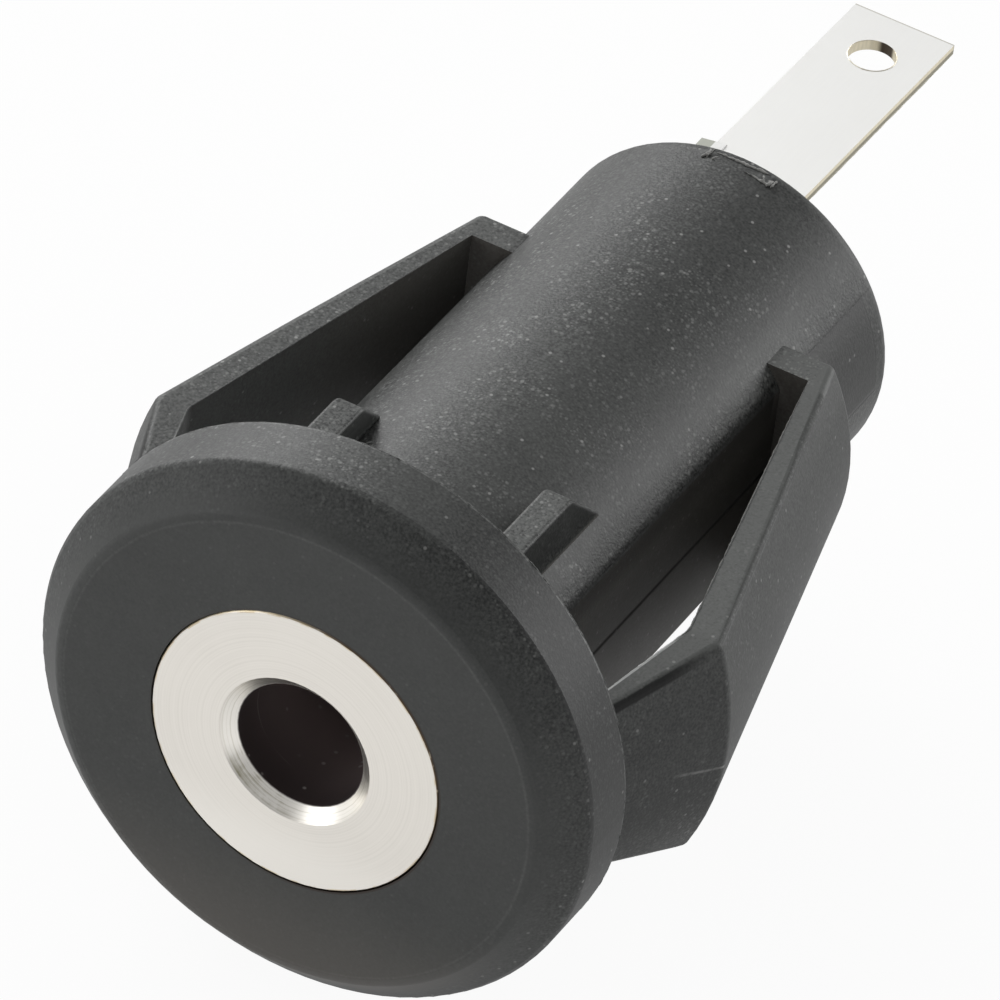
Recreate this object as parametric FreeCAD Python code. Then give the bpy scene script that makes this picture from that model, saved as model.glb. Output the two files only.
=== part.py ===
import FreeCAD, Part
import math
import os
from FreeCAD import Vector

# Single-pole panel socket that is pushed into a round hole and latches behind the panel.
# Millimetres. The plug's axis is Y, the front face looks along -Y, and Z is up.
# The origin is on the axis, in the flange's seat against the panel.

# Flange
flange_radius = 8.82
flange_thickness = 3.1
flange_bevel_width = 1.15
flange_bevel_depth = 1.1
flange_edge_round = 0.4

# Tube behind the flange, with a slight draft and a flat on each side under its wing
tube_root_radius = 5.53
tube_end_radius = 5.45
tube_length = 21.9
tube_end_round = 0.5
tube_flat_distance = 4.7

# Shallow witness of the gate on top of the tube's end
gate_width = 2.1
gate_length = 0.85
gate_depth = 0.12
gate_offset = 0.2

# Latch wings: outer radii, places along the axis, and heights above and below the axis
wing_rear_radius = 6.76
wing_knee_radius = 9.78
wing_toe_radius = 8.3
wing_rear_place = 17.1
wing_knee_place = 4.25
wing_toe_gap = 0.4
wing_bridge_length = 1.15
wing_height_above = 3.54
wing_height_below = 4.05
toe_height_above = 3.1
toe_height_below = 2.7
wing_knee_round = 0.4
wing_rear_round = 0.3
wing_side_round = 2.0
wing_edge_round = 0.25

# Thickness of the wing's strap at its upper edge
strap_rear_thickness = 0.55
strap_knee_thickness = 1.0
strap_toe_thickness = 0.52
window_knee_round = 0.8

# Centring ribs behind the flange, two above and two below
rib_inner_offset = 2.9
rib_width = 0.93
rib_height = 5.75
rib_length = 4.75
rib_end_angle = 42.0
rib_round = 0.5
rib_edge_round = 0.12

# Contact sleeve: turned head, body and tail
sleeve_head_radius = 4.6
sleeve_head_thickness = 2.4
sleeve_head_chamfer = 0.05
sleeve_body_radius = 3.4
plug_bore_radius = 2.0
plug_bore_length = 20.0
plug_mouth_radius = 2.42
plug_mouth_depth = 0.38
drill_point_angle = 118.0
rivet_radius = 1.5
rivet_head_radius = 2.2
rivet_head_height = 0.5
rivet_head_chamfer = 0.2
sleeve_clearance = 0.02
rivet_clearance = 0.05

# Solder tag: sheet, round base, and lug bent back along the axis
tag_sheet = 0.33
tag_base_radius = 4.2
tag_relief = 0.25
lug_width = 3.3
lug_height = 3.9
lug_bend_radius = 0.3
lug_reach = 9.83
lug_tip_shift = 0.12
eyelet_radius = 0.72
eyelet_from_tip = 1.93
ear_width = 0.5
ear_reach = 1.55
ear_start = 0.7
ear_fold_angle = 10.0

# Places that follow from the sizes above
front_face = -flange_thickness
wing_toe_place = wing_toe_gap
window_rear_place = wing_rear_place - wing_bridge_length
head_seat = front_face + sleeve_head_thickness


def rounded_wire(corners, place):
    """Closed wire through (a, b, radius) corners, where place turns (a, b) into a point."""
    starts = []
    middles = []
    ends = []
    count = len(corners)
    for index in range(count):
        a, b, radius = corners[index]
        corner = Vector(a, b, 0)
        before = Vector(*corners[index - 1][:2], 0) - corner
        after = Vector(*corners[(index + 1) % count][:2], 0) - corner
        before.normalize()
        after.normalize()
        half_angle = before.getAngle(after) / 2
        reach = radius / math.tan(half_angle)
        inward = before + after
        if inward.Length > 1e-9:
            inward.normalize()
        starts.append(corner + before * reach)
        ends.append(corner + after * reach)
        middles.append(corner + inward * (radius / math.sin(half_angle) - radius))
    edges = []
    for index in range(count):
        radius = corners[index][2]
        start = place(starts[index].x, starts[index].y)
        middle = place(middles[index].x, middles[index].y)
        end = place(ends[index].x, ends[index].y)
        following = starts[(index + 1) % count]
        if radius > 0:
            edges.append(Part.Arc(start, middle, end).toShape())
        edges.append(Part.makeLine(end, place(following.x, following.y)))
    return Part.Wire(edges)


def turned(corners):
    """Solid of revolution about the Y axis from (radius, place) corners."""
    wire = rounded_wire(corners, lambda radius, along: Vector(radius, along, 0))
    return Part.Face(wire).revolve(Vector(0, 0, 0), Vector(0, 1, 0), 360)


def prism_across(corners, low, high):
    """Solid with an outline of (x, y) corners, from height low to height high."""
    wire = rounded_wire(corners, lambda x, y: Vector(x, y, low))
    return Part.Face(wire).extrude(Vector(0, 0, high - low))


def prism_sideways(corners, low, high):
    """Solid with an outline of (y, z) corners, from x = low to x = high."""
    wire = rounded_wire(corners, lambda y, z: Vector(low, y, z))
    return Part.Face(wire).extrude(Vector(high - low, 0, 0))


def mirrored_left(shape):
    return shape.mirror(Vector(0, 0, 0), Vector(1, 0, 0))


def mirrored_below(shape):
    return shape.mirror(Vector(0, 0, 0), Vector(0, 0, 1))


def flange_and_tube():
    face_radius = flange_radius - flange_bevel_width
    bevel_end = front_face + flange_bevel_depth
    return turned([
        (0, front_face, 0),
        (face_radius, front_face, flange_edge_round),
        (flange_radius, bevel_end, flange_edge_round),
        (flange_radius, 0, 0),
        (tube_root_radius, 0, 0),
        (tube_end_radius, tube_length, tube_end_round),
        (0, tube_length, 0),
    ])


def long_outer_edges(wing):
    """Upper and lower edges of the wing's outer surface, which run along the socket."""
    found = []
    for edge in wing.Edges:
        middle = edge.valueAt((edge.FirstParameter + edge.LastParameter) / 2)
        runs_along = edge.BoundBox.YLength > wing_edge_round / 10
        is_outside = math.hypot(middle.x, middle.z) > tube_root_radius
        is_off_middle = abs(middle.z) > toe_height_below / 2
        if runs_along and is_outside and is_off_middle:
            found.append(edge)
    return found


def wing_block():
    """Right wing before its window is cut: a slice of a turned double cone."""
    cone = turned([
        (0, wing_rear_place, 0),
        (wing_rear_radius, wing_rear_place, wing_rear_round),
        (wing_knee_radius, wing_knee_place, wing_knee_round),
        (wing_toe_radius, wing_toe_place, 0),
        (0, wing_toe_place, 0),
    ])
    cone.rotate(Vector(0, 0, 0), Vector(0, 1, 0), 180)
    side_outline = prism_sideways([
        (wing_rear_place, -wing_height_below, 0),
        (wing_rear_place, wing_height_above, 0),
        (wing_knee_place, wing_height_above, wing_side_round),
        (wing_toe_place, toe_height_above, 0),
        (wing_toe_place, -toe_height_below, 0),
        (wing_knee_place, -wing_height_below, wing_side_round),
    ], 0, wing_knee_radius)
    wing = cone.common(side_outline)
    return wing.makeFillet(wing_edge_round, long_outer_edges(wing))


def strap_inside(radius, height, thickness):
    """Distance from the middle plane to the strap's inner side."""
    return math.sqrt(radius ** 2 - height ** 2) - thickness


def window_cutter():
    """Space inside the right wing's strap, from the middle plane outwards."""
    share = wing_bridge_length / (wing_rear_place - wing_knee_place)
    radius_at_bridge = wing_rear_radius + share * (wing_knee_radius - wing_rear_radius)
    at_bridge = strap_inside(radius_at_bridge, wing_height_above, strap_rear_thickness)
    at_knee = strap_inside(wing_knee_radius, wing_height_above, strap_knee_thickness)
    at_toe = strap_inside(wing_toe_radius, toe_height_above, strap_toe_thickness)
    limit = wing_knee_radius
    return prism_across([
        (0, 0, 0),
        (0, window_rear_place, 0),
        (at_bridge, window_rear_place, 0),
        (at_knee, wing_knee_place, window_knee_round),
        (at_toe, wing_toe_place, 0),
        (at_toe, 0, 0),
    ], -limit, limit)


def tube_flat():
    """Slice taken off the tube's right side where the strap faces it."""
    width = tube_root_radius - tube_flat_distance
    corner = Vector(tube_flat_distance, 0, -tube_root_radius)
    return Part.makeBox(width, window_rear_place, 2 * tube_root_radius, corner)


def long_top_edges(rib):
    """Edges of the rib's top, which run along the socket on both sides."""
    found = []
    for edge in rib.Edges:
        middle = edge.valueAt((edge.FirstParameter + edge.LastParameter) / 2)
        runs_along = edge.BoundBox.XLength < rib_width / 10
        is_on_top = middle.y > 0 and middle.z > tube_end_radius / 2
        if runs_along and is_on_top and edge.BoundBox.YLength > rib_round / 10:
            found.append(edge)
    return found


def centring_rib():
    """Upper right rib, rooted inside the tube and sloping down to it at the rear."""
    root_height = tube_end_radius / 2
    slope_length = (rib_height - root_height) / math.tan(math.radians(rib_end_angle))
    rib = prism_sideways([
        (0, root_height, 0),
        (0, rib_height, 0),
        (rib_length, rib_height, rib_round),
        (rib_length + slope_length, root_height, 0),
    ], rib_inner_offset, rib_inner_offset + rib_width)
    return rib.makeFillet(rib_edge_round, long_top_edges(rib))


def gate_notch():
    notch = Part.makeBox(
        gate_width, gate_length, tube_root_radius,
        Vector(gate_offset - gate_width / 2, tube_length - gate_length, tube_end_radius - gate_depth),
    )
    return notch


def sleeve_passage():
    """Counterbored hole for the contact sleeve."""
    head_hole = sleeve_head_radius + sleeve_clearance
    body_hole = sleeve_body_radius + sleeve_clearance
    return turned([
        (0, front_face - 1, 0),
        (head_hole, front_face - 1, 0),
        (head_hole, head_seat, 0),
        (body_hole, head_seat, 0),
        (body_hole, tube_length + 1, 0),
        (0, tube_length + 1, 0),
    ])


def housing():
    """One moulding: flange, tube, latch wings and centring ribs."""
    core = flange_and_tube().cut([tube_flat(), mirrored_left(tube_flat())])
    right_wing = wing_block().cut(window_cutter())
    right_rib = centring_rib()
    added = [right_wing, mirrored_left(right_wing)]
    for rib in (right_rib, mirrored_left(right_rib)):
        added.append(rib)
        added.append(mirrored_below(rib))
    body = core.fuse(added).cut([gate_notch(), sleeve_passage()])
    return body.removeSplitter()


def contact_sleeve():
    """Turned sleeve with a blind plug bore and a riveted tail."""
    bore_start = front_face + plug_mouth_depth
    bore_end = bore_start + plug_bore_length
    drill_point = bore_end + plug_bore_radius / math.tan(math.radians(drill_point_angle / 2))
    rivet_seat = tube_length + tag_sheet
    head_top = rivet_seat + rivet_head_height
    return turned([
        (plug_mouth_radius, front_face, 0),
        (sleeve_head_radius - sleeve_head_chamfer, front_face, 0),
        (sleeve_head_radius, front_face + sleeve_head_chamfer, 0),
        (sleeve_head_radius, head_seat, 0),
        (sleeve_body_radius, head_seat, 0),
        (sleeve_body_radius, tube_length, 0),
        (rivet_radius, tube_length, 0),
        (rivet_radius, rivet_seat, 0),
        (rivet_head_radius, rivet_seat, 0),
        (rivet_head_radius, head_top - rivet_head_chamfer, 0),
        (rivet_head_radius - rivet_head_chamfer, head_top, 0),
        (0, head_top, 0),
        (0, drill_point, 0),
        (plug_bore_radius, bore_end, 0),
        (plug_bore_radius, bore_start, 0),
    ])


def tag_base():
    """Round base against the tube's end, with a relief beside the lug's bend."""
    bend_start = lug_height - tag_sheet / 2 - lug_bend_radius
    half = lug_width / 2
    along = Vector(0, 1, 0)
    plate = Part.makeCylinder(tag_base_radius, tag_sheet, Vector(0, tube_length, 0), along)
    relief_half = half + tag_relief
    relief = Part.makeBox(
        2 * relief_half, tag_sheet, tag_base_radius,
        Vector(-relief_half, tube_length, bend_start - tag_relief),
    )
    neck = Part.makeBox(
        lug_width, tag_sheet, bend_start,
        Vector(-half, tube_length, 0),
    )
    hole_radius = rivet_radius + rivet_clearance
    hole = Part.makeCylinder(hole_radius, tag_sheet, Vector(0, tube_length, 0), along)
    return plate.cut(relief).fuse(neck).cut(hole)


def tag_bend():
    """Quarter turn that joins the base to the lug."""
    half = lug_width / 2
    bend_start = lug_height - tag_sheet / 2 - lug_bend_radius
    bend_axis = tube_length + tag_sheet + lug_bend_radius
    section = Part.makePolygon([
        Vector(-half, tube_length, bend_start),
        Vector(half, tube_length, bend_start),
        Vector(half, tube_length + tag_sheet, bend_start),
        Vector(-half, tube_length + tag_sheet, bend_start),
        Vector(-half, tube_length, bend_start),
    ])
    return Part.Face(section).revolve(Vector(0, bend_axis, bend_start), Vector(1, 0, 0), -90)


def tag_lug():
    """Flat lug with its eyelet, slightly askew as it was bent."""
    half = lug_width / 2
    root = tube_length + tag_sheet + lug_bend_radius
    tip = tube_length + lug_reach
    low = lug_height - tag_sheet / 2
    high = lug_height + tag_sheet / 2
    strip = prism_across([
        (-half, root, 0),
        (half, root, 0),
        (half + lug_tip_shift, tip, 0),
        (-half + lug_tip_shift, tip, 0),
    ], low, high)
    eyelet_place = Vector(lug_tip_shift / 2, tip - eyelet_from_tip, low)
    eyelet = Part.makeCylinder(eyelet_radius, tag_sheet, eyelet_place, Vector(0, 0, 1))
    return strip.cut(eyelet)


def tag_ear():
    """Small ear folded down at the lug's left edge."""
    half = lug_width / 2
    start = tube_length + ear_start
    ear = Part.makeBox(
        ear_width + tag_sheet, ear_reach - ear_start, tag_sheet,
        Vector(-ear_width, start, -tag_sheet),
    )
    ear.rotate(Vector(0, 0, 0), Vector(0, 1, 0), -ear_fold_angle)
    ear.translate(Vector(-half, 0, lug_height + tag_sheet / 2))
    return ear


def solder_tag():
    """One stamped and bent strip."""
    tag = tag_base().fuse([tag_bend(), tag_lug(), tag_ear()])
    return tag.removeSplitter()


def save(name, shape):
    shape.exportStep("parts/" + name + ".step")
    box = shape.BoundBox
    print(name, "solids", len(shape.Solids), "valid", shape.isValid(), "volume", round(shape.Volume, 2))
    print("  x", round(box.XMin, 2), round(box.XMax, 2), "y", round(box.YMin, 2), round(box.YMax, 2),
          "z", round(box.ZMin, 2), round(box.ZMax, 2))


os.makedirs("parts", exist_ok=True)
save("housing", housing())
save("contact_sleeve", contact_sleeve())
save("solder_tag", solder_tag())
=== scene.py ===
# %% [markdown]
# # A press-in panel socket
#
# The real object is a small connector, about as long as a thumb joint. A matt black moulding
# carries a turned metal contact, and a flat tinned tag at the rear takes the solder.
#
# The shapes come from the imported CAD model, which is loaded first and is never moved. This
# script adds what a CAD model doesn't hold: the finishes, the fine flash and scars that moulding
# and stamping leave, the light, the floor and the camera.

import math
from types import SimpleNamespace

import bpy
from mathutils import Matrix, Vector, noise


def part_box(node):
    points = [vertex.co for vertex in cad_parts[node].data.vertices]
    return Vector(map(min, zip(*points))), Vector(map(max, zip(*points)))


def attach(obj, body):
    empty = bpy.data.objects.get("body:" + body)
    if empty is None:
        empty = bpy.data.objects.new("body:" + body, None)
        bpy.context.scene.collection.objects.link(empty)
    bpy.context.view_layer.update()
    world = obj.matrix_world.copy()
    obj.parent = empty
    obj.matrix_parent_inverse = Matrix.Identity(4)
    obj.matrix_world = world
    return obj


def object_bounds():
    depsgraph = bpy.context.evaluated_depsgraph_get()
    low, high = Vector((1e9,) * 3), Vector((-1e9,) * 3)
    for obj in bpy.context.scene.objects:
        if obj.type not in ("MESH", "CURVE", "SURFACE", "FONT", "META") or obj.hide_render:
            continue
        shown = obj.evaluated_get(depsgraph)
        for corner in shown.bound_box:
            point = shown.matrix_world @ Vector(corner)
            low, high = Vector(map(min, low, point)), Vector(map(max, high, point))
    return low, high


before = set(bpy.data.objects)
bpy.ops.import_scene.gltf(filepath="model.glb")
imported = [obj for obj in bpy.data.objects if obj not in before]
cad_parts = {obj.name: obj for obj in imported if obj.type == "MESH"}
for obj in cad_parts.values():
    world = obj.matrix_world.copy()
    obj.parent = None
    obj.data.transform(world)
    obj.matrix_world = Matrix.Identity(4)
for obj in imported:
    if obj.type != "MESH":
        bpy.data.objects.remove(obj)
cad_low, cad_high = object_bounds()
MM = 0.001
print("nodes", sorted(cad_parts))
print("box in mm", [round(v / MM, 2) for v in cad_low], [round(v / MM, 2) for v in cad_high])

# %% [markdown]
# ## Places on the part
#
# The plug's axis is Y, with the front face towards -Y and the tag towards +Y. Most places are
# read from the boxes of the three pieces, so that they follow the CAD model. The few others are
# sizes of the CAD model that the boxes don't show, in millimetres.

# %% Read the main places from the boxes
housing_low, housing_high = (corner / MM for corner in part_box("housing"))
sleeve_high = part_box("contact_sleeve")[1] / MM
tag_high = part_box("solder_tag")[1] / MM

FRONT = housing_low.y
FLANGE_RADIUS = housing_high.z
TUBE_END = housing_high.y
HEAD_RADIUS = sleeve_high.x
TAG_TIP = tag_high.y
TAG_SHEET = 0.33
LUG_TOP = 4.065
LUG_HALF = 1.65
BORE_RADIUS = 2.0
MOUTH_RADIUS = 2.42
MOUTH_DEPTH = 0.38
FACE_RADIUS = 7.67
print("front", round(FRONT, 2), "flange radius", round(FLANGE_RADIUS, 2))
print("tube end", round(TUBE_END, 2), "tag tip", round(TAG_TIP, 2))

# %% [markdown]
# ## Shader maths
#
# A finish is built from nodes, and nodes are slow to read as lists of links. The class below
# wraps one output socket, so that sums, products and comparisons can be written as plain Python
# expressions. Every other node comes from one method, which sets the node first and then its
# sockets.

# %% A wrapped socket
class Field:
    """One output of a shader node, for use in arithmetic."""

    def __init__(self, tree, socket):
        self.tree = tree
        self.socket = socket

    def node(self, kind, settings=None, inputs=None, output=0):
        """Makes a node, sets it, fills or links its sockets, and gives one of its outputs."""
        made = self.tree.nodes.new(kind)
        for name, value in (settings or {}).items():
            setattr(made, name, value)
        for name, value in (inputs or {}).items():
            if isinstance(value, Field):
                self.tree.links.new(value.socket, made.inputs[name])
            else:
                made.inputs[name].default_value = value
        return None if output is None else Field(self.tree, made.outputs[output])

    def maths(self, operation, *values):
        """One step of arithmetic on fields and numbers."""
        return self.node("ShaderNodeMath", {"operation": operation}, dict(enumerate(values)))

    def __add__(self, other):
        return self.maths("ADD", self, other)

    def __sub__(self, other):
        return self.maths("SUBTRACT", self, other)

    def __rsub__(self, other):
        return self.maths("SUBTRACT", other, self)

    def __mul__(self, other):
        return self.maths("MULTIPLY", self, other)

    def __truediv__(self, other):
        return self.maths("DIVIDE", self, other)

    def __pow__(self, other):
        return self.maths("POWER", self, other)

    __radd__ = __add__
    __rmul__ = __mul__

    def over(self, low, high):
        """0 below low, 1 above high, and smooth between them."""
        inputs = {"Value": self, "From Min": low, "From Max": high}
        return self.node("ShaderNodeMapRange", {"interpolation_type": "SMOOTHSTEP"}, inputs)

    def within(self, low, high, soft):
        """1 between low and high, fading to 0 over the soft distance outside."""
        return self.over(low - soft, low) * (1 - self.over(high, high + soft))

    def close_to(self, value, width):
        """1 where the field equals the value, fading to 0 at that width on each side."""
        return 1 - self.maths("ABSOLUTE", self - value).over(0.0, width)

    def most(self, first, *others):
        """The largest of several fields."""
        for other in others:
            first = self.maths("MAXIMUM", first, other)
        return first

    def turn(self, upwards, sideways):
        """The angle of a place round an axis, in degrees from the sideways direction."""
        return self.maths("ARCTAN2", upwards, sideways) * math.degrees(1)


# %% A finish: one material under construction
# The black of the tool's seams, also used for painted shade
SEAM_AND_SHADE_DARK = (0.006, 0.006, 0.006)


class Finish(Field):
    def __init__(self, name):
        self.material = bpy.data.materials.new(name)
        self.material.use_nodes = True
        tree = self.material.node_tree
        tree.nodes.clear()
        super().__init__(tree, None)
        metres = self.node("ShaderNodeTexCoord", output=3)
        settings = {"operation": "SCALE"}
        self.place = self.node("ShaderNodeVectorMath", settings, {0: metres, "Scale": 1 / MM})
        self.x, self.y, self.z = (
            self.node("ShaderNodeSeparateXYZ", None, {0: self.place}, index) for index in range(3)
        )

    def facing(self):
        """The three parts of the surface's direction."""
        normal = self.node("ShaderNodeNewGeometry", output=1)
        return [self.node("ShaderNodeSeparateXYZ", None, {0: normal}, index) for index in range(3)]

    def noise(self, size, detail=2.0, stretch=None):
        """Cloudy noise from 0 to 1, with features of about that size in millimetres."""
        where = self.stretched(stretch) if stretch else self.place
        inputs = {"Vector": where, "Scale": 1 / size, "Detail": detail}
        return self.node("ShaderNodeTexNoise", None, inputs)

    def stretched(self, factors):
        """The place with each part times its factor, so that noise is long where it is small."""
        return self.node("ShaderNodeVectorMath", {"operation": "MULTIPLY"}, {0: self.place, 1: factors})

    def specks(self, spacing, radius, share):
        """1 on small round grains: one per cell of that spacing, kept for a share of the cells."""
        inputs = {"Vector": self.place, "Scale": 1 / spacing}
        distance = self.node("ShaderNodeTexVoronoi", None, inputs)
        colour = self.node("ShaderNodeTexVoronoi", None, inputs, 1)
        chance = self.node("ShaderNodeSeparateColor", None, {0: colour})
        small = 1 - distance.over(0.4 * radius / spacing, radius / spacing)
        return small * chance.over(1 - share, 1 - 0.6 * share)

    def blend(self, factor, first, second):
        """A colour between two colours."""
        settings = {"data_type": "RGBA", "clamp_factor": True}
        inputs = {0: factor, 6: rgba(first), 7: rgba(second)}
        return self.node("ShaderNodeMix", settings, inputs, 2)

    def raised(self, height, depth):
        """A surface direction from a height field that stands up by depth, in millimetres."""
        inputs = {"Height": height, "Distance": depth * MM, "Strength": 1.0}
        return self.node("ShaderNodeBump", None, inputs)

    def finish(self, painted_shade=None, **inputs):
        """Ends the material. Where the shade field is 1, no light comes back: painted shade, black and
        without gloss.
        """
        shader = self.node("ShaderNodeBsdfPrincipled", None, {
            name.replace("_", " "): rgba(value) for name, value in inputs.items()
        })
        if painted_shade:
            black = self.node("ShaderNodeBsdfDiffuse", None, {"Color": rgba(SEAM_AND_SHADE_DARK)})
            shader = self.node("ShaderNodeMixShader", None, {0: painted_shade, 1: shader, 2: black})
        self.node("ShaderNodeOutputMaterial", None, {"Surface": shader}, None)
        return self.material


def rgba(value):
    """Colours get an alpha of one; everything else passes through."""
    if isinstance(value, tuple) and len(value) == 3:
        return (*value, 1.0)
    return value


# %% [markdown]
# ## The black moulding
#
# The housing is moulded in a spark-eroded steel tool, which leaves a fine matt grain: dull in
# the shade, and full of tiny lights where a lamp grazes it. The front face and the insides of
# the wings come from smoother steel, so they are calmer. A few marks show how it was made: the
# parting line on the sides, the outline of an insert on the tube, and the torn gate at the rear.
#
# A painted picture could carry all this, but it would blur up close and need unwrapping. Here
# each region is a field instead: a number from 0 to 1 that follows from the place and the
# direction of the surface. The fields are then laid over each other like masks. Several regions
# are painted lighter or darker as painted light and shade, and thin flash and torn plastic are
# painted pale where they catch the light. The grain is a bump, which answers to the light, and
# also a spread of tones and painted glints, since the camera sees several grains in each point
# of the picture.

# %% Regions of the moulding
BEVEL_BACK = (FRONT + 1.0, FRONT + 1.2)
TUBE_SKIN = (5.56, 5.62)
FLAT_REAR, BRIDGE_FRONT, WING_REAR = 16.0, 15.5, 17.0
RIB_REAR, RIB_LOW = 7.0, 4.0


def moulding_regions(skin):
    """Fields that are 1 on one region of the moulding and fade to 0 round it.

    The limits on across, along, up and outwards are cosines: 0.9 is 26 degrees off that direction.
    """
    x, y, z = skin.x, skin.y, skin.z
    across, along, up = skin.facing()
    radius = (x * x + z * z) ** 0.5
    angle = skin.turn(z, x)
    outwards = across * skin.maths("SIGN", x)
    calm = 1 - y.over(FRONT + 0.03, FRONT + 0.9)
    flange = 1 - y.over(-0.1, 0.0)
    rim = flange * y.over(*BEVEL_BACK)
    behind = 1 - flange
    past_tube = behind * radius.over(*TUBE_SKIN)
    tube = behind * (1 - radius.over(*TUBE_SKIN))
    wing = behind * radius.over(5.75, 5.9) * (1 - y.over(WING_REAR, WING_REAR + 0.2))
    wing_side = wing * outwards.over(0.86, 0.93)
    wing_top = past_tube * up.over(0.5, 0.9)
    rib = behind * radius.over(5.6, 5.7) * (1 - y.over(RIB_REAR, RIB_REAR + 0.2))
    rib = rib * z.over(RIB_LOW, RIB_LOW + 0.3)
    return SimpleNamespace(
        radius=radius, angle=angle, outwards=outwards, up=up,
        calm=calm, coarse=1 - 0.75 * calm,
        flange=flange, rim=rim, bevel=flange - rim, behind=behind,
        tube=tube,
        right_side=tube * (1 - angle.over(32, 48)),
        shaded_band=tube * angle.within(48, 78, 14),
        lit_band=tube * angle.over(92, 104),
        flat=tube * outwards.over(0.97, 0.99) * (1 - y.over(FLAT_REAR, FLAT_REAR + 0.1)),
        wing_side=wing_side,
        wing_front=wing_side * (1 - y.over(4.0, 4.4)),
        wing_top=wing_top,
        inner_wall=past_tube * (1 - outwards.over(-0.9, -0.5)),
        bridge_wall=behind * (1 - along.over(-0.95, -0.85)) * y.over(BRIDGE_FRONT, BRIDGE_FRONT + 0.3),
        rib_top=wing_top * z.over(RIB_LOW, RIB_LOW + 0.3),
        rib_side=rib * across.over(0.7, 0.9),
    )


print("bevel ends between", [round(place, 2) for place in BEVEL_BACK])

# %% Seams of the tool
INSERT_LOW, INSERT_HIGH = -1.5, 32.0
INSERT_FRONT, INSERT_REAR = 17.4, 20.95
PARTING_WIDTH = 0.13


def tool_seams(skin, on):
    """The side and the field of the insert on the tube, the parting line, and all seams at once."""
    y = skin.y
    insert_side = on.angle.within(INSERT_LOW, INSERT_HIGH, 0.5)
    insert = insert_side * y.within(INSERT_FRONT + 0.5, INSERT_REAR, 0.03) * on.radius.over(5.0, 5.2)
    upper = on.angle.close_to(INSERT_HIGH, 2.6) * y.within(INSERT_FRONT, INSERT_REAR, 0.1)
    lower = on.angle.close_to(INSERT_LOW, 0.9) * y.within(INSERT_FRONT + 2, INSERT_REAR, 0.1)
    rear = y.close_to(INSERT_REAR, 0.07) * insert_side
    parting = skin.z.close_to(0.0, PARTING_WIDTH) * on.flat * y.within(0.0, BRIDGE_FRONT, 0.5)
    seams = skin.most(0.7 * upper, lower, 0.5 * rear, 0.8 * parting)
    return insert_side, insert, parting, seams


print("insert on the tube, in degrees", INSERT_LOW, INSERT_HIGH)

# %% The torn gate, as a field
GATE_LEFT, GATE_RIGHT, GATE_FRONT, GATE_REAR, GATE_FLOOR = -0.85, 1.25, 21.05, 21.50, 5.33
TUBE_END_RADIUS = 5.45


def torn_gate(skin, on):
    """1 on everything near the gate that stands proud of the tube or of the gate's floor."""
    in_recess = skin.x.within(GATE_LEFT - 0.01, GATE_RIGHT + 0.01, 0.01)
    in_recess = in_recess * skin.y.over(GATE_FRONT - 0.01, GATE_FRONT + 0.01)
    above_tube = on.radius.over(TUBE_END_RADIUS + 0.005, TUBE_END_RADIUS + 0.025)
    above_floor = in_recess * skin.z.over(GATE_FLOOR + 0.005, GATE_FLOOR + 0.015)
    near_gate = skin.x.within(GATE_LEFT - 0.25, GATE_RIGHT + 0.25, 0.05)
    near_gate = near_gate * skin.y.within(GATE_FRONT - 0.2, GATE_FRONT + 0.75, 0.05)
    return near_gate * skin.most(above_tube, above_floor)


print("gate", round(GATE_RIGHT - GATE_LEFT, 2), "mm wide")

# %% Lines between two points, for scratches and flash
WING_TOP, TOE_TOP = 3.54, 3.1
TOE_INSIDE, KNEE_INSIDE, BRIDGE_INSIDE = (7.18, 0.4), (8.117, 4.25), (5.526, 15.95)


def along_line(skin, start, end):
    """Distance from a straight line in space, and the share of the way from start to end."""
    start, end = Vector(start), Vector(end)
    way = (end - start).normalized()
    length = (end - start).length
    offset = skin.node("ShaderNodeVectorMath", {"operation": "SUBTRACT"}, {0: skin.place, 1: start})
    cross = skin.node("ShaderNodeVectorMath", {"operation": "CROSS_PRODUCT"}, {0: offset, 1: way})
    distance = skin.node("ShaderNodeVectorMath", {"operation": "LENGTH"}, {0: cross}, 1)
    reach = skin.node("ShaderNodeVectorMath", {"operation": "DOT_PRODUCT"}, {0: offset, 1: way}, 1)
    return distance, reach / length


def scratch(skin, start, end, width):
    """1 on a fine scratch between two points, uneven along its length."""
    distance, share = along_line(skin, start, end)
    uneven = (0.35 + 0.65 * skin.noise(0.25).over(0.3, 0.6)) * (0.25 + 0.75 * share)
    return (1 - distance.over(0.3 * width, width)) * share.within(0.0, 1.0, 0.08) * uneven


def toe_flash(skin, on, side):
    """1 on the flash along a wing's upper inner edge, from its toe to its knee."""
    toe = (side * TOE_INSIDE[0], TOE_INSIDE[1], TOE_TOP)
    knee = (side * KNEE_INSIDE[0], KNEE_INSIDE[1], WING_TOP)
    distance, share = along_line(skin, toe, knee)
    return (1 - distance.over(0.03, 0.07)) * share.within(0.0, 0.75, 0.25) * on.behind


print("wing's inner edge from", TOE_INSIDE, "over", KNEE_INSIDE, "to", BRIDGE_INSIDE)

# %% [markdown]
# ### Painted shade that gives no light back
#
# Some places on the real part look black, although some are only a tenth of a millimetre wide:
# the shade under the wings' front edges, a dark line along their outer top edges, the sides of
# the ribs and a strip on the tube's right side. Here shade is painted. A darker colour can't make
# it, because black plastic still mirrors the lamps. So the finish mixes in a second shader there,
# which is black and has no gloss at all.

# %% Where painted shade makes the moulding deep black
SHADED_LOW, SHADED_HIGH = (1.6, 2.7), (3.0, 3.16)


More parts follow.
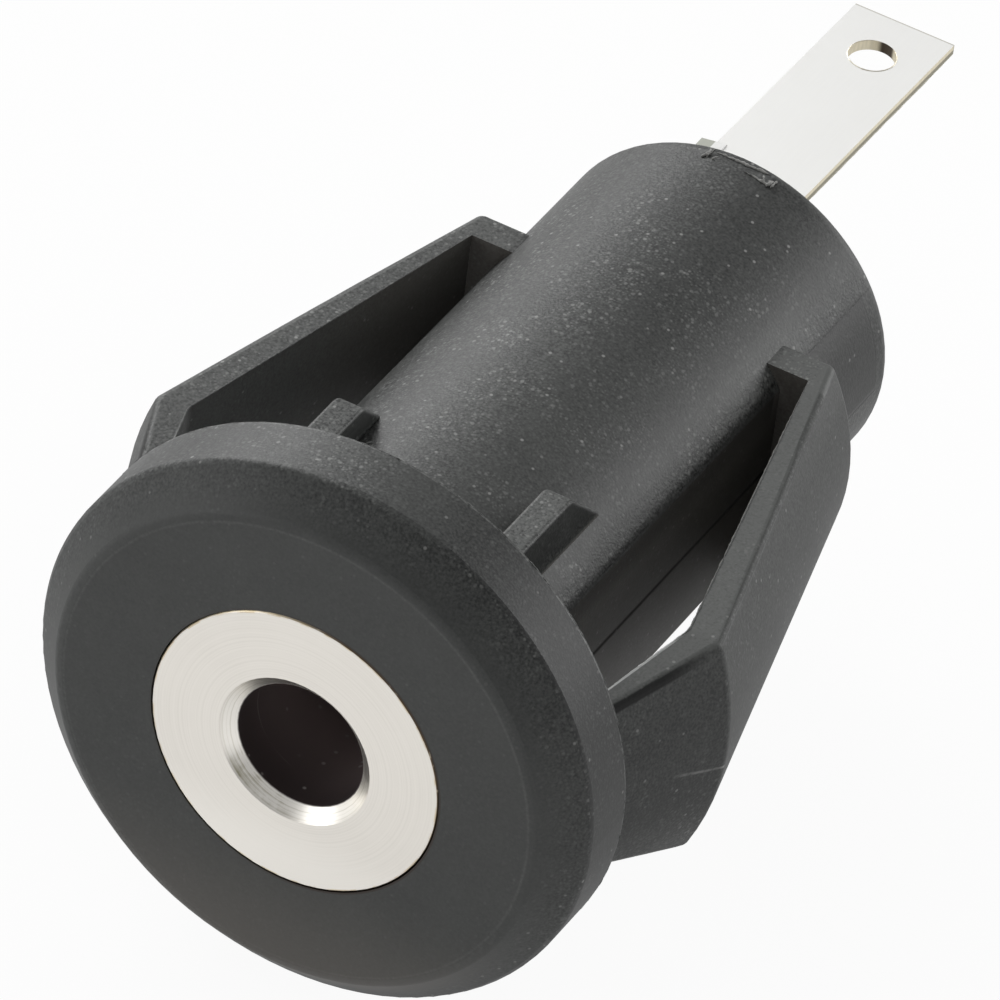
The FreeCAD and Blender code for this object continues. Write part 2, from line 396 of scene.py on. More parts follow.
def shade_below_wing_top(skin, on):
    """1 on a thin band of painted shade below the top edge of each wing, in front of its knee."""
    rise = (WING_TOP - TOE_TOP) / (KNEE_INSIDE[1] - TOE_INSIDE[1])
    below_top = TOE_TOP + rise * (skin.y - TOE_INSIDE[1]) - skin.z
    outer_front = on.behind * on.outwards.over(0.3, 0.6) * (1 - skin.y.over(2.2, 4.2))
    outer_front = outer_front * on.radius.over(6.0, 6.2)
    return outer_front * below_top.within(0.05, 0.24, 0.08)


def painted_black_shade(skin, on, front_edge_shade, grain):
    """How much painted shade is mixed in, from 0 to 1, on the wings, ribs and tube."""
    x, y, z = skin.x, skin.y, skin.z
    right = x.over(-1.0, 1.0)
    outer_edge_shade = on.behind * on.up.within(0.60, 0.93, 0.05) * on.outwards.over(0.12, 0.2)
    outer_edge_shade = outer_edge_shade * on.radius.over(6.0, 6.3) * y.within(4.4, 15.6, 0.2)
    shaded_side = on.tube * x.over(4.0, 4.2) * z.over(*SHADED_LOW) * (1 - z.over(*SHADED_HIGH))
    shaded_side = shaded_side * (1 - y.over(BRIDGE_FRONT, BRIDGE_FRONT + 0.2))
    # Painted shade, stronger on the right of the part; on the rib sides, stronger on the left
    lost = (0.22 + 0.28 * right) * front_edge_shade
    lost = lost + (0.12 + 0.26 * right) * outer_edge_shade * grain.over(0.25, 0.5)
    return lost + (0.35 - 0.22 * right) * on.rib_side + 0.50 * shaded_side


print("shaded strip on the tube's right side, z from", SHADED_LOW[0], "to", SHADED_HIGH[1])

# %% How light each region of the moulding is
RIM_DARKER = 0.18


def moulding_shade(skin, on, contrast, grain, mottle, cloud):
    """The share of the lighter of the two blacks, with painted light and shade by region."""
    x, y, z = skin.x, skin.y, skin.z
    shade = 0.40 - 0.08 * on.coarse + 0.25 * (cloud - 0.5)
    shade = shade + contrast * (2.3 * (grain - 0.5) + 0.7 * (mottle - 0.5))
    # Painted light and shade: the rim lighter on its upper left and darker on the right, and the wings'
    # sides darker
    rim_light_and_shade = 0.24 * x.within(-2.2, 2.4, 1.5) + 0.10 * (1 - x.over(0.0, 7.0)) - 0.11 * x.over(4.5, 6.5)
    shade = shade + (rim_light_and_shade - RIM_DARKER) * on.rim - 0.05 * on.wing_side
    # Painted shade: the wings' fronts darker towards the bottom
    shade = shade - (0.07 + 0.11 * (1 - z.over(-1.5, 0.5))) * on.wing_front
    # Painted light: the tops of the wings and ribs lighter, most on the right and on the bridges
    shade = shade + (0.28 + 0.34 * x.over(0.0, 1.0) + 0.15 * y.over(15.2, 15.9)) * on.wing_top
    # Painted light in the windows: the inner walls and the tube's flats lighter
    shade = shade + 0.50 * on.inner_wall + 0.50 * on.flat
    # Painted highlight: the right lamp's long light on the tube, strongest near the bridges
    shade = shade + on.tube * on.angle.within(29, 44, 6) * (0.08 + 0.34 * y.within(15.0, 16.0, 3.5))
    # Painted light on the tube's top near the flange
    return shade + 0.16 * on.tube * on.angle.within(66, 102, 16) * (1 - y.over(8.0, 16.0))


def painted_window_light(skin, on):
    """How much warm painted light lies in the windows: on their walls and on the flats, most below the
    parting line.
    """
    x, y, z = skin.x, skin.y, skin.z
    right_wall = x.over(0.0, 1.0) * (0.42 + 0.50 * y.over(7.0, 14.0))
    left_wall = 0.30 * (1 - x.over(-1.0, 0.0)) * y.over(7.0, 14.0)
    film = on.inner_wall * (right_wall + left_wall) + 0.38 * on.bridge_wall
    return film + on.flat * (0.38 - 0.12 * z.over(-1.0, 0.5))


print("rim is darker by", RIM_DARKER)

# %% The moulding's finish
MOULDING_DARK = (0.006, 0.007, 0.0065)
MOULDING_LIGHT = (0.086, 0.090, 0.086)
GRAIN_GLINT = (0.30, 0.305, 0.295)
# Pale dust and scratches, and the painted highlight on the face's edge
DUST_AND_SHEEN = (0.40, 0.40, 0.39)
FLASH_PALE_AND_HIGHLIGHT = (0.62, 0.63, 0.62)
TORN_PALE_AND_HIGHLIGHT = (0.26, 0.26, 0.25)
WARM_PAINTED_LIGHT = (0.20, 0.18, 0.16)
GAP_SHADOW_BROWN = (0.020, 0.011, 0.006)
SCRATCH_START, SCRATCH_END = (9.09, 2.51, -0.15), (9.70, 4.25, -0.66)
GRAIN_SIZE, MOTTLE_SIZE, CLOUD_SIZE = 0.085, 0.22, 1.6
GRAIN_DEPTH = 0.012


def grain_glints_and_dust(skin, on, smooth, colour):
    """Adds pale specks painted as the tiny glints of the grain, fewer in the tube's dark band, and the
    few larger specks of dust.
    """
    patch = skin.noise(1.9, 2.0).over(0.38, 0.66)
    speckled = on.coarse * (1 - 0.75 * smooth) * (1 - 0.45 * on.shaded_band)
    speckled = speckled * (1 - 0.5 * on.tube * skin.y.over(17.0, 20.5))
    tiny = skin.specks(0.10, 0.05, 0.6) * (0.30 + 0.70 * patch)
    small = skin.specks(0.19, 0.08, 0.5) * (0.25 + 0.75 * patch)
    large = skin.specks(0.40, 0.07, 0.35)
    colour = skin.blend(0.35 * tiny * speckled, colour, GRAIN_GLINT)
    colour = skin.blend(0.60 * small * speckled, colour, GRAIN_GLINT)
    return skin.blend((0.65 * on.coarse - 0.08) * (1 - 0.4 * smooth) * large, colour, DUST_AND_SHEEN)


def pale_marks(skin, on, mottle, colour):
    """Adds the torn gate and the flash, pale and painted as highlights where they catch the light, and
    the scratch.
    """
    x, y = skin.x, skin.y
    # Torn plastic at the gate: pale from tearing, and painted pale as the light on its lip
    colour = skin.blend(torn_gate(skin, on) * mottle.over(0.32, 0.50), colour, TORN_PALE_AND_HIGHLIGHT)
    # Pale flash on the flange's back edge, painted brighter on the right as a highlight
    back_edge = y.over(-0.08, -0.03) * on.radius.over(FLANGE_RADIUS - 0.06, FLANGE_RADIUS - 0.03)
    rim_flash_highlight = (0.40 + 0.50 * x.within(6.0, 7.3, 0.6)) * mottle.over(0.35, 0.55)
    colour = skin.blend(back_edge * on.flange * rim_flash_highlight, colour, FLASH_PALE_AND_HIGHLIGHT)
    # Pale flash on the wings' inner edges, painted as a bright highlight on the right only
    for side, strength in ((-1, 0.12), (1, 0.95)):
        colour = skin.blend(strength * toe_flash(skin, on, side), colour, FLASH_PALE_AND_HIGHLIGHT)
    return skin.blend(0.6 * scratch(skin, SCRATCH_START, SCRATCH_END, 0.08), colour, DUST_AND_SHEEN)


def black_moulding():
    """Two blacks by region with painted light and shade, then warm painted light, grain, painted
    glints, dust, seams, painted shade and pale marks, one over the other.
    """
    skin = Finish("black_moulding")
    x, z = skin.x, skin.z
    on = moulding_regions(skin)
    insert_side, insert, parting, seams = tool_seams(skin, on)
    grain = skin.noise(GRAIN_SIZE, 1.0)
    mottle = skin.noise(MOTTLE_SIZE, 2.0)
    cloud = skin.noise(CLOUD_SIZE, 3.0)
    smooth_insert = insert_side * on.behind * on.angle.over(-5.0, -1.0)
    smooth = skin.most(on.wing_side, on.inner_wall, on.bridge_wall, on.flat, on.bevel, smooth_insert)
    smooth = skin.most(smooth, on.rim * x.over(-1.0, 2.0))
    # The grain's contrast follows the light: painted weaker in the tube's dark band, stronger in its
    # lit bands and on the rib tops
    contrast = 1 - 0.5 * on.shaded_band + 0.3 * on.lit_band + 0.5 * on.rib_top + 0.5 * on.right_side
    contrast = on.coarse * (1 - 0.5 * smooth) * contrast

    shade = moulding_shade(skin, on, contrast, grain, mottle, cloud)
    colour = skin.blend(shade, MOULDING_DARK, MOULDING_LIGHT)
    # Painted light: the front face lighter and warmer towards its bottom
    colour = skin.blend(0.43 * on.calm * (1 - z.over(-9.0, -3.0)), colour, WARM_PAINTED_LIGHT)
    # Warm painted light in the windows
    colour = skin.blend(painted_window_light(skin, on), colour, WARM_PAINTED_LIGHT)
    colour = skin.blend(0.52 * insert, colour, SEAM_AND_SHADE_DARK)
    colour = grain_glints_and_dust(skin, on, smooth, colour)
    # Painted highlight: a pale line on the upper part of the face's rounded edge
    face_edge_highlight = on.radius.close_to(FACE_RADIUS - 0.22, 0.07) * on.calm * on.up.over(-0.2, 0.3)
    colour = skin.blend(0.25 * face_edge_highlight * grain, colour, DUST_AND_SHEEN)
    colour = skin.blend(0.9 * seams, colour, SEAM_AND_SHADE_DARK)
    # Painted shade under the wings' front edges, also darkened in colour
    front_edge_shade = shade_below_wing_top(skin, on)
    colour = skin.blend(0.8 * front_edge_shade, colour, SEAM_AND_SHADE_DARK)
    colour = pale_marks(skin, on, mottle, colour)
    # Painted shadow in the gap round the contact's head, strongest on the right
    gap_shadow = on.calm * (1 - on.radius.over(HEAD_RADIUS + 0.05, HEAD_RADIUS + 0.10))
    colour = skin.blend(gap_shadow * (0.15 + 0.8 * x.over(-2.0, 1.5)), colour, GAP_SHADOW_BROWN)

    roughness = 0.50 + 0.08 * (cloud - 0.5) + 0.25 * contrast * (grain - 0.5)
    height = contrast * (0.75 * grain + 0.25 * mottle) - 0.5 * seams
    return skin.finish(
        painted_shade=painted_black_shade(skin, on, front_edge_shade, grain),
        Base_Color=colour,
        Roughness=roughness + 0.07 * on.wing_side + 0.4 * parting,
        Normal=skin.raised(height, GRAIN_DEPTH),
        IOR=1.5,
    )


moulding_finish = black_moulding()
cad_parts["housing"].data.materials[0] = moulding_finish
print("housing faces", len(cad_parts["housing"].data.polygons))

# %% [markdown]
# ## The turned contact
#
# The contact is turned from brass and plated with nickel. A lathe tool leaves rings that are
# finer than a hair, so the face scatters light across the rings and stays bright from most
# sides. Noise in one dimension, read along the radius, gives the same rings. Down the hole the
# metal mirrors only itself and looks nearly black; that is painted, because a plain metal would
# need many bounces of light to show it. The lower face and the mouth are painted lighter, as
# painted reflection, and the right side of the head's rim is painted darker, as painted shadow,
# with painted glints on its golden edge. The tail behind the tube is a dull rivet head.

# %% The contact's finish
NICKEL = (0.88, 0.845, 0.785)
NICKEL_SHADE = (0.72, 0.69, 0.63)
BORE_SHADE = (0.036, 0.025, 0.025)
BORE_DEEP = (0.26, 0.205, 0.20)
NICKEL_REFLECTION = (0.97, 0.94, 0.88)
MOUTH_STREAK = (0.34, 0.31, 0.20)
EDGE_GOLD = (0.62, 0.50, 0.30)
EDGE_SHADOW_BROWN = (0.085, 0.052, 0.030)
BORE_MARK = (0.45, 0.42, 0.40)
RIVET_DULL = (0.44, 0.42, 0.38)
RING_WIDTH = 0.07
RING_DEPTH = 0.0014
STAIN = (-140, -100)


def hole_wall(metal, depth):
    """The colour down the hole: dark at the mouth, with two faint arcs and a few bright specks."""
    wall = metal.blend(depth.over(0.0, 3.5), BORE_SHADE, BORE_DEEP)
    faint = metal.noise(2.2, 1.0)
    near_arc = depth.close_to(1.05, 0.035) * faint.over(0.40, 0.55)
    far_arc = depth.close_to(4.6, 0.06) * faint.over(0.5, 0.6)
    marks = 0.35 * (near_arc + far_arc) + 0.7 * metal.specks(0.5, 0.09, 0.6)
    return metal.blend(marks, wall, BORE_MARK)


def nickel_plated_brass():
    """Rings, a streaked mouth, a golden rim with painted glints and shadow, painted reflection low
    down, a dark hole.
    """
    metal = Finish("nickel_plated_brass")
    x, y, z = metal.x, metal.y, metal.z
    radius = (x * x + z * z) ** 0.5
    on_face = 1 - y.over(FRONT + 0.02, FRONT + 0.06)
    depth = y - (FRONT + MOUTH_DEPTH)
    rivet = y.over(TUBE_END - 1.1, TUBE_END - 1)
    near_axis = 1 - radius.over(BORE_RADIUS + 0.1, BORE_RADIUS + 0.2)
    inside = depth.over(-0.04, 0.0) * near_axis * (1 - rivet)
    mouth = (1 - on_face) * (1 - inside) * (1 - radius.over(MOUTH_RADIUS, MOUTH_RADIUS + 0.05))

    ring = {"noise_dimensions": "1D"}
    fine = {"Scale": 1 / RING_WIDTH, "Detail": 3.0}
    turning = metal.node("ShaderNodeTexNoise", ring, {"W": radius, **fine})
    along = metal.node("ShaderNodeTexNoise", ring, {"W": y, **fine})
    cloud = metal.noise(1.5, 2.0)
    smear = metal.noise(0.5, 3.0)

    shade = 0.9 * (turning - 0.45) + 0.3 * (cloud - 0.4)
    colour = metal.blend(shade, NICKEL, NICKEL_SHADE)
    # Painted reflection: the lower part of the face and the whole mouth are lighter
    low_face_reflection = on_face * (1 - z.over(-4.2, -2.0))
    colour = metal.blend(mouth + 0.8 * low_face_reflection, colour, NICKEL_REFLECTION)
    stained = metal.turn(z, x).within(*STAIN, 18)
    streak = mouth * (3.2 * (along - 0.50) + stained * (2.0 * (smear - 0.42) + 0.15))
    colour = metal.blend(streak, colour, MOUTH_STREAK)
    # The head's golden edge, with painted glints in patches
    gold_glints = radius.over(HEAD_RADIUS - 0.10, HEAD_RADIUS - 0.07) * smear.over(0.42, 0.58)
    colour = metal.blend(0.65 * gold_glints, colour, EDGE_GOLD)
    rim = radius.over(HEAD_RADIUS - 0.055, HEAD_RADIUS - 0.040)
    colour = metal.blend(0.6 * rim, colour, EDGE_GOLD)
    # Painted shadow: the rim dark brown on the right
    colour = metal.blend(0.9 * rim * x.over(-2.0, 1.5) * smear.over(0.25, 0.40), colour, EDGE_SHADOW_BROWN)
    colour = metal.blend(inside, colour, hole_wall(metal, depth))
    colour = metal.blend(rivet, colour, RIVET_DULL)
    height = on_face * turning + mouth * 1.5 * along + (1 - on_face) * (1 - mouth) * along
    return metal.finish(
        Base_Color=colour,
        Metallic=1 - inside,
        Roughness=0.30 + 0.10 * (turning - 0.5) + 0.4 * inside + 0.25 * rivet,
        Normal=metal.raised(height * (1 - inside), RING_DEPTH),
    )


contact_finish = nickel_plated_brass()
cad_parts["contact_sleeve"].data.materials[0] = contact_finish
print("contact head radius", round(HEAD_RADIUS, 2))

# %% [markdown]
# ## The solder tag
#
# The tag is stamped from brass strip that was tinned first. Its two broad sides are soft white
# metal with faint rolling lines, while the sheared edges show bare brass: bright where the punch
# slid past, dull and brown where the metal broke. Which side a place lies on follows from the
# direction of the surface, so no edge has to be marked by hand.

# %% The tag's finish
TIN = (0.78, 0.78, 0.765)
TIN_SHADE = (0.71, 0.705, 0.685)
BRASS_BRIGHT = (0.84, 0.77, 0.60)
BRASS_DULL_AND_SHADE = (0.30, 0.28, 0.21)
EYELET_BROWN = (0.07, 0.055, 0.04)
EAR_SHADE = (0.40, 0.41, 0.365)
ROOT_GREY = (0.46, 0.46, 0.445)
EAR_REACH = 1.55
EYELET_RADIUS = 0.72
EYELET_CENTRE = (0.06, TAG_TIP - 1.93)
ROLLING_DEPTH = 0.0008


def tinned_brass():
    """Tin on the broad sides, brass on the sheared edges, painted shade on the ear and tip, duller
    metal at the base.
    """
    metal = Finish("tinned_brass")
    x, y, z = metal.x, metal.y, metal.z
    across, along, _ = metal.facing()
    sheared = metal.maths("ABSOLUTE", across).over(0.5, 0.7)
    tip = metal.maths("ABSOLUTE", along).over(0.5, 0.7) * y.over(TUBE_END + 1, TUBE_END + 1.1)
    cut = metal.most(sheared, tip)
    punched = z.over(LUG_TOP - 0.55 * TAG_SHEET, LUG_TOP - 0.45 * TAG_SHEET)

    rolling = metal.noise(0.05, 2.0, stretch=(1.0, 0.04, 1.0))
    cloud = metal.noise(2.0, 2.0)
    colour = metal.blend(0.3 * rolling + 0.3 * cloud, TIN, TIN_SHADE)
    streak = metal.noise(0.08, 2.0, stretch=(1.0, 1.0, 0.2))
    from_eyelet = ((x - EYELET_CENTRE[0]) ** 2.0 + (y - EYELET_CENTRE[1]) ** 2.0) ** 0.5
    in_eyelet = 1 - from_eyelet.over(EYELET_RADIUS + 0.005, EYELET_RADIUS + 0.02)
    round_eyelet = metal.turn(y - EYELET_CENTRE[1], x - EYELET_CENTRE[0])
    bare = metal.blend(punched * (0.5 + 0.7 * streak), BRASS_DULL_AND_SHADE, BRASS_BRIGHT)
    wall = metal.blend(0.5 + 0.5 * streak, BRASS_DULL_AND_SHADE, BRASS_BRIGHT)
    wall = metal.blend(round_eyelet.within(66, 92, 14), wall, EYELET_BROWN)
    colour = metal.blend(cut, colour, bare)
    colour = metal.blend(in_eyelet, colour, wall)
    # Painted shade: a dark line along the tip, for the darker reflection of its rolled edge
    tip_edge_shade = y.over(TAG_TIP - 0.07, TAG_TIP - 0.02)
    colour = metal.blend(0.6 * tip_edge_shade, colour, BRASS_DULL_AND_SHADE)
    behind_tube = y.within(TUBE_END + 0.5, TUBE_END + EAR_REACH + 0.02, 0.01) * z.over(3.2, 3.4)
    on_ear = (1 - x.over(-LUG_HALF - 0.06, -LUG_HALF - 0.02)) * behind_tube
    ear_root = x.within(-LUG_HALF - 0.04, TAG_SHEET - LUG_HALF + 0.01, 0.01) * behind_tube
    colour = metal.blend(ear_root, colour, TIN)
    # Painted shade on the ear: greyer, and rougher
    colour = metal.blend(on_ear * (0.85 + 0.3 * (cloud - 0.5)), colour, EAR_SHADE)
    base = along.over(0.5, 0.9) * (1 - y.over(TUBE_END + 0.6, TUBE_END + 0.7))
    colour = metal.blend(0.7 * base, colour, ROOT_GREY)
    height = (1 - cut) * rolling + cut * streak
    return metal.finish(
        Base_Color=colour,
        Metallic=1 - 0.9 * ear_root,
        Roughness=0.32 + 0.08 * cloud + 0.10 * cut + 0.35 * on_ear + 0.30 * base,
        Normal=metal.raised(height, ROLLING_DEPTH),
    )


tag_finish = tinned_brass()
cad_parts["solder_tag"].data.materials[0] = tag_finish
print("tag tip", round(TAG_TIP, 2))

# %% [markdown]
# ## Flash, tears and burrs
#
# Small leftovers tell how a part was made. Plastic creeps a hair's breadth into the seams of its
# tool and leaves thin flash along edges. The gate is torn off, and leaves a ragged lip. A
# stamped strip carries a fine burr. They are too small for the CAD model, but each catches a
# thin line of light. A bump can't stand out from an edge, so they are built here as thin uneven
# beads that follow their edges.

# %% A helper for one small piece
def piece(name, vertices, faces, finish):
    """Makes a mesh from places in millimetres and lets it ride on the part."""
    mesh = bpy.data.meshes.new(name)
    mesh.from_pydata([Vector(v) * MM for v in vertices], [], faces)
    mesh.update()
    for face in mesh.polygons:
        face.use_smooth = True
    made = bpy.data.objects.new(name, mesh)
    bpy.context.scene.collection.objects.link(made)
    mesh.materials.append(finish)
    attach(made, "root")
    print(name, "faces", len(faces))
    return made


# %% A thin bead along an edge
END_TAPER = 6


def uneven(place, size):
    """Smooth seeded variation from -1 to 1, with features of about that size in millimetres."""
    return noise.noise(Vector(place) / size)


def bead(name, path, thickness, finish, closed=False, raggedness=0.4, sides=6):
    """A thin bead along points in millimetres, with an uneven thickness and tapered ends."""
    path = [Vector(point) for point in path]
    count = len(path)
    vertices, faces = [], []
    for index, centre in enumerate(path):
        ahead = path[(index + 1) % count] if closed else path[min(index + 1, count - 1)]
        behind = path[index - 1] if closed or index else path[0]
        along = (ahead - behind).normalized()
        side = along.orthogonal() if index == 0 else side - along * side.dot(along)
        side = side.normalized()
        other = along.cross(side)
        from_end = END_TAPER * min(index, count - 1 - index) / count + 0.05
        taper = 1.0 if closed else min(1.0, from_end)
        radius = thickness / 2 * taper
        radius = radius * (1 + raggedness * uneven(centre, 0.35) + raggedness * uneven(centre, 0.09))
        for corner in range(sides):
            turn = 2 * math.pi * corner / sides
            vertices.append(centre + radius * (math.cos(turn) * side + math.sin(turn) * other))
    for index in range(count if closed else count - 1):
        start, following = index * sides, (index + 1) % count * sides
        for corner in range(sides):
            after = (corner + 1) % sides
            faces.append((start + corner, start + after, following + after, following + corner))
    if not closed:
        faces.append(tuple(reversed(range(sides))))
        faces.append(tuple(range((count - 1) * sides, count * sides)))
    return piece(name, vertices, faces, finish)


def stepped(start, end, spacing):
    """Points from start to end, about that far apart."""
    start, end = Vector(start), Vector(end)
    steps = max(2, round((end - start).length / spacing))
    return [start.lerp(end, step / steps) for step in range(steps + 1)]


# %% Flash round the flange's back edge
FLASH = 0.045


def flange_flash():
    """A ragged ring of flash. Its middle lies inside the corner, by a third of its thickness."""
    steps = 720
    turns = (2 * math.pi * step / steps for step in range(steps))
    inside = FLANGE_RADIUS - FLASH / 3
    path = [(inside * math.cos(turn), -FLASH / 3, inside * math.sin(turn)) for turn in turns]
    return bead(
        "flange_flash", path, FLASH, moulding_finish, closed=True, raggedness=0.9
    )


flange_flash()

# %% Flash along the inner edges of the two windows
WINDOW_FLASH = 0.06


def window_flash(side, name):
    """Flash on the upper inner edge of a wing, from its toe over the knee towards the rear."""
    toe = (side * TOE_INSIDE[0], TOE_INSIDE[1], TOE_TOP)
    knee = (side * KNEE_INSIDE[0], KNEE_INSIDE[1], WING_TOP)
    rear = (side * BRIDGE_INSIDE[0], BRIDGE_INSIDE[1], WING_TOP)
    path = stepped(toe, knee, 0.05)[:-2] + stepped(knee, rear, 0.05)[2:]
    return bead(name, path, WINDOW_FLASH, moulding_finish, raggedness=0.6)


window_flash(1, "window_flash_right")
window_flash(-1, "window_flash_left")

# %% The torn gate on the tube's end
SKIN_START, FRONT_SKIN, REAR_SKIN = 0.35, 0.06, 0.09


def on_tube(x, y, lift=0.0):
    """A place on top of the tube, at that distance from its surface."""
    radius = TUBE_END_RADIUS + lift
    return (x, y, math.sqrt(radius * radius - x * x))


def gate_edges():
    """Thin torn skins on the front and rear edges of the gate's recess."""
    count = 40
    front, rear = [], []
    for step in range(count + 1):
        share = step / count
        x = SKIN_START + (GATE_RIGHT - SKIN_START) * share
        front.append(on_tube(x, GATE_FRONT + 0.03 * uneven((x, 7.0, 0), 0.2), 0.01))
        x = GATE_LEFT + 0.1 + (GATE_RIGHT - GATE_LEFT - 0.3) * share
        lip = min(GATE_FLOOR, on_tube(x, 0.0)[2]) + 0.01
        rear.append((x, GATE_REAR + 0.03 * uneven((x, 5.0, 0), 0.2), lip))
    bead("gate_front_skin", front, FRONT_SKIN, moulding_finish, raggedness=0.9)
    bead("gate_rear_skin", rear, REAR_SKIN, moulding_finish, raggedness=0.7)


def gate_tear(name, x, y, length, width, lean):
    """One torn flake: a rough ridge that stands a little off the tube."""
    count = 14
    path = []
    for step in range(count + 1):
        share = step / count
        sway = 0.05 * uneven((x, y, share * 3), 0.5)
        lift = 0.015 + 0.03 * math.sin(math.pi * share)
        path.append(on_tube(x + lean * length * share + sway, y + length * share, lift))
    return bead(name, path, width, moulding_finish, raggedness=0.9)


# Each tear: across, along, length, width and lean
GATE_TEARS = [
    (-0.98, 20.98, 0.36, 0.07, 0.35),
    (-0.84, 21.08, 0.40, 0.06, -0.20),
    (-0.66, 21.02, 0.20, 0.05, 0.60),
    (1.16, 20.95, 0.34, 0.07, 0.30),
    (1.30, 20.98, 0.42, 0.05, 0.05),
    (1.04, 21.05, 0.26, 0.04, -0.50),
]
gate_edges()
for index, tear in enumerate(GATE_TEARS):
    gate_tear("gate_tear_" + str(index + 1), *tear)

# %% Burrs on the stamped tag
LUG_LEAN = 0.12
LUG_ROOT, EAR_END = 22.53, 23.5
LUG_BURR, EYELET_BURR = 0.03, 0.035


def lug_burr(side, name):
    """The burr on a long lower edge of the lug."""
    low = LUG_TOP - TAG_SHEET
    start = LUG_ROOT if side > 0 else EAR_END
    path = stepped((side * LUG_HALF, start, low), (side * LUG_HALF + LUG_LEAN, TAG_TIP, low), 0.06)
    return bead(name, path, LUG_BURR, tag_finish, raggedness=0.5)


def eyelet_burr():
    """The rolled upper rim of the eyelet."""
    steps = 120
    path = []
    for step in range(steps):
        turn = 2 * math.pi * step / steps
        ring = EYELET_RADIUS + 0.01
        x, y = ring * math.cos(turn), ring * math.sin(turn)
        path.append((EYELET_CENTRE[0] + x, EYELET_CENTRE[1] + y, LUG_TOP))
    return bead("eyelet_burr", path, EYELET_BURR, tag_finish, closed=True, raggedness=0.3)


lug_burr(1, "lug_burr_right")
lug_burr(-1, "lug_burr_left")
eyelet_burr()

# %% [markdown]
# ## Floor, light and camera
#
# The socket lies under soft studio light: a broad pale surrounding and four square lamps. The two
# strong ones stand behind it on the left and on the right, and draw the long lights on the tube.
# A faint one higher up softens the edge of the left light, and one in front on the left lifts the
# flange. The floor is white to the camera and a soft grey in reflections, and still takes the
# shadow.

# %% The floor
FLOOR_SIDE = 3.0
PAPER_LOW, PAPER_HIGH = (0.90, 0.90, 0.90), (0.94, 0.94, 0.94)
FLOOR_WHITE = 0.94
FLOOR_SHINE = 0.55


def pale_floor():
    """A white plane under the flange, mostly as bright as paper to the camera."""
    mesh = bpy.data.meshes.new("floor")
    half = FLOOR_SIDE / 2
    corners = [(-half, -half), (half, -half), (half, half), (-half, half)]
    mesh.from_pydata([(a, b, cad_low.z) for a, b in corners], [], [(0, 1, 2, 3)])
    floor = bpy.data.objects.new("floor", mesh)
    bpy.context.scene.collection.objects.link(floor)

    paper = Finish("floor_paper")
    fibre = paper.noise(0.8, 3.0)
    colour = paper.blend(fibre, PAPER_LOW, PAPER_HIGH)
    lit = paper.node("ShaderNodeBsdfDiffuse", None, {"Color": colour})
    white = paper.node("ShaderNodeEmission", None, {"Color": rgba((1.0, 1.0, 1.0)), "Strength": 1.0})
    camera_ray = paper.node("ShaderNodeLightPath", output=0)
    glossy_ray = paper.node("ShaderNodeLightPath", output=3)
    seen = paper.most(camera_ray * FLOOR_WHITE, glossy_ray * FLOOR_SHINE)
    mixed = paper.node("ShaderNodeMixShader", None, {0: seen, 1: lit, 2: white})
    paper.node("ShaderNodeOutputMaterial", None, {"Surface": mixed}, None)
    mesh.materials.append(paper.material)
    return floor


pale_floor()
print("floor at", round(cad_low.z / MM, 2), "mm")

# %% The surrounding light
SURROUNDING = 0.42


def pale_surrounding():
    """An even pale world, white where the camera sees it."""
    world = bpy.data.worlds.new("studio")
    world.use_nodes = True
    world.node_tree.nodes.clear()
    air = Field(world.node_tree, None)
    ray = air.node("ShaderNodeLightPath", output=0)
    light = air.node("ShaderNodeBackground", None, {"Color": (1, 1, 1, 1), "Strength": SURROUNDING})
    white = air.node("ShaderNodeBackground", None, {"Color": (1, 1, 1, 1), "Strength": 1.0})
    mixed = air.node("ShaderNodeMixShader", None, {0: ray, 1: light, 2: white})
    air.node("ShaderNodeOutputWorld", None, {"Surface": mixed}, None)
    bpy.context.scene.world = world


pale_surrounding()
print("surrounding light", SURROUNDING)

# %% A direction by its angles
def direction(azimuth, elevation):
    """A direction away from the socket. Azimuth runs from the front towards +X, in degrees."""
    turn, rise = math.radians(azimuth), math.radians(elevation)
    return Vector((math.sin(turn) * math.cos(rise), -math.cos(turn) * math.cos(rise), math.sin(rise)))


# %% Soft lamps
LAMP_TARGET = Vector((0.0, 0.010, 0.0))
LAMP_DISTANCE, LAMP_SIDE = 0.50, 0.30
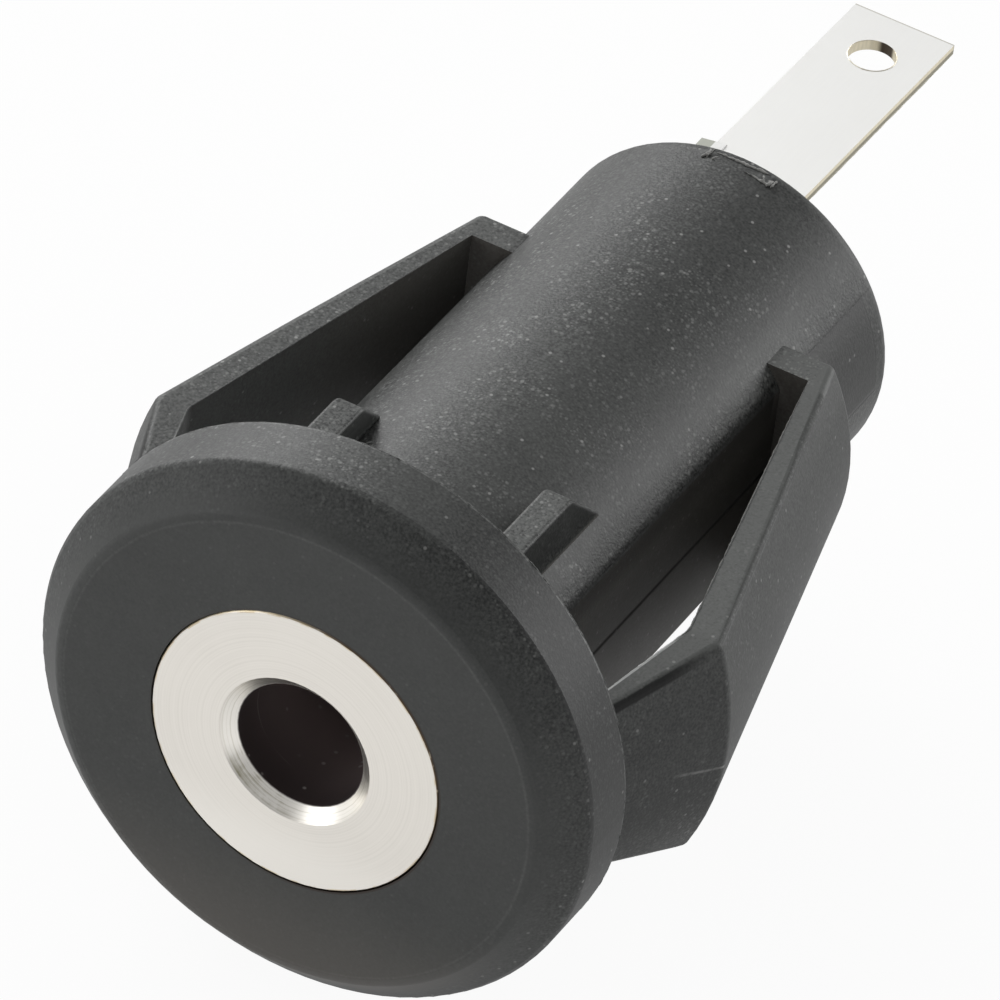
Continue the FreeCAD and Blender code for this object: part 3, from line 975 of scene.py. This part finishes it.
# Each lamp: name, azimuth, elevation and brightness
LAMPS = [
    ("lamp_left_rear", -122, 28, 5.0),
    ("lamp_high_rear", -150, 44, 0.72),
    ("lamp_right_rear", 146, 8, 4.4),
    ("lamp_left_front", -50, 12, 1.75),
]


def soft_lamp(name, azimuth, elevation, brightness):
    """A square lamp that faces the socket.

    The brightness is what the lamp's own face shows, where white paper in the studio is 1.
    """
    way = direction(azimuth, elevation)
    data = bpy.data.lights.new(name, "AREA")
    data.size = LAMP_SIDE
    data.energy = brightness * math.pi * LAMP_SIDE * LAMP_SIDE
    lamp = bpy.data.objects.new(name, data)
    lamp.location = LAMP_TARGET + way * LAMP_DISTANCE
    lamp.rotation_euler = way.to_track_quat("Z", "Y").to_euler()
    bpy.context.scene.collection.objects.link(lamp)
    share = (LAMP_SIDE / LAMP_DISTANCE) ** 2 / math.pi * brightness
    print(name, "gives a facing white surface", round(share, 2))


for lamp_row in LAMPS:
    soft_lamp(*lamp_row)

# %% The camera
CAMERA_AZIMUTH, CAMERA_ELEVATION, CAMERA_ROLL = 24.731, 39.075, 7.556
CAMERA_DISTANCE = 0.410501
CAMERA_TARGET = Vector((-0.0011722, 0.0107963, -0.0007425))
CAMERA_LENS, CAMERA_SENSOR = 518.4, 36.0


def photo_camera():
    """The photograph's view, as a long lens from the front, the right and above."""
    back = direction(CAMERA_AZIMUTH, CAMERA_ELEVATION)
    level = Vector((0, 0, 1)).cross(back).normalized()
    up = back.cross(level)
    roll = math.radians(CAMERA_ROLL)
    right = level * math.cos(roll) + up * math.sin(roll)
    up = back.cross(right)
    data = bpy.data.cameras.new("camera")
    data.lens = CAMERA_LENS
    data.sensor_width = CAMERA_SENSOR
    data.clip_start, data.clip_end = 0.01, 10.0
    camera = bpy.data.objects.new("camera", data)
    turned = Matrix((right, up, back)).transposed().to_4x4()
    camera.matrix_world = Matrix.Translation(CAMERA_TARGET + back * CAMERA_DISTANCE) @ turned
    bpy.context.scene.collection.objects.link(camera)
    bpy.context.scene.camera = camera
    return camera


print("camera at", [round(v / MM, 1) for v in photo_camera().location])
bpy.context.scene.view_settings.view_transform = "Standard"
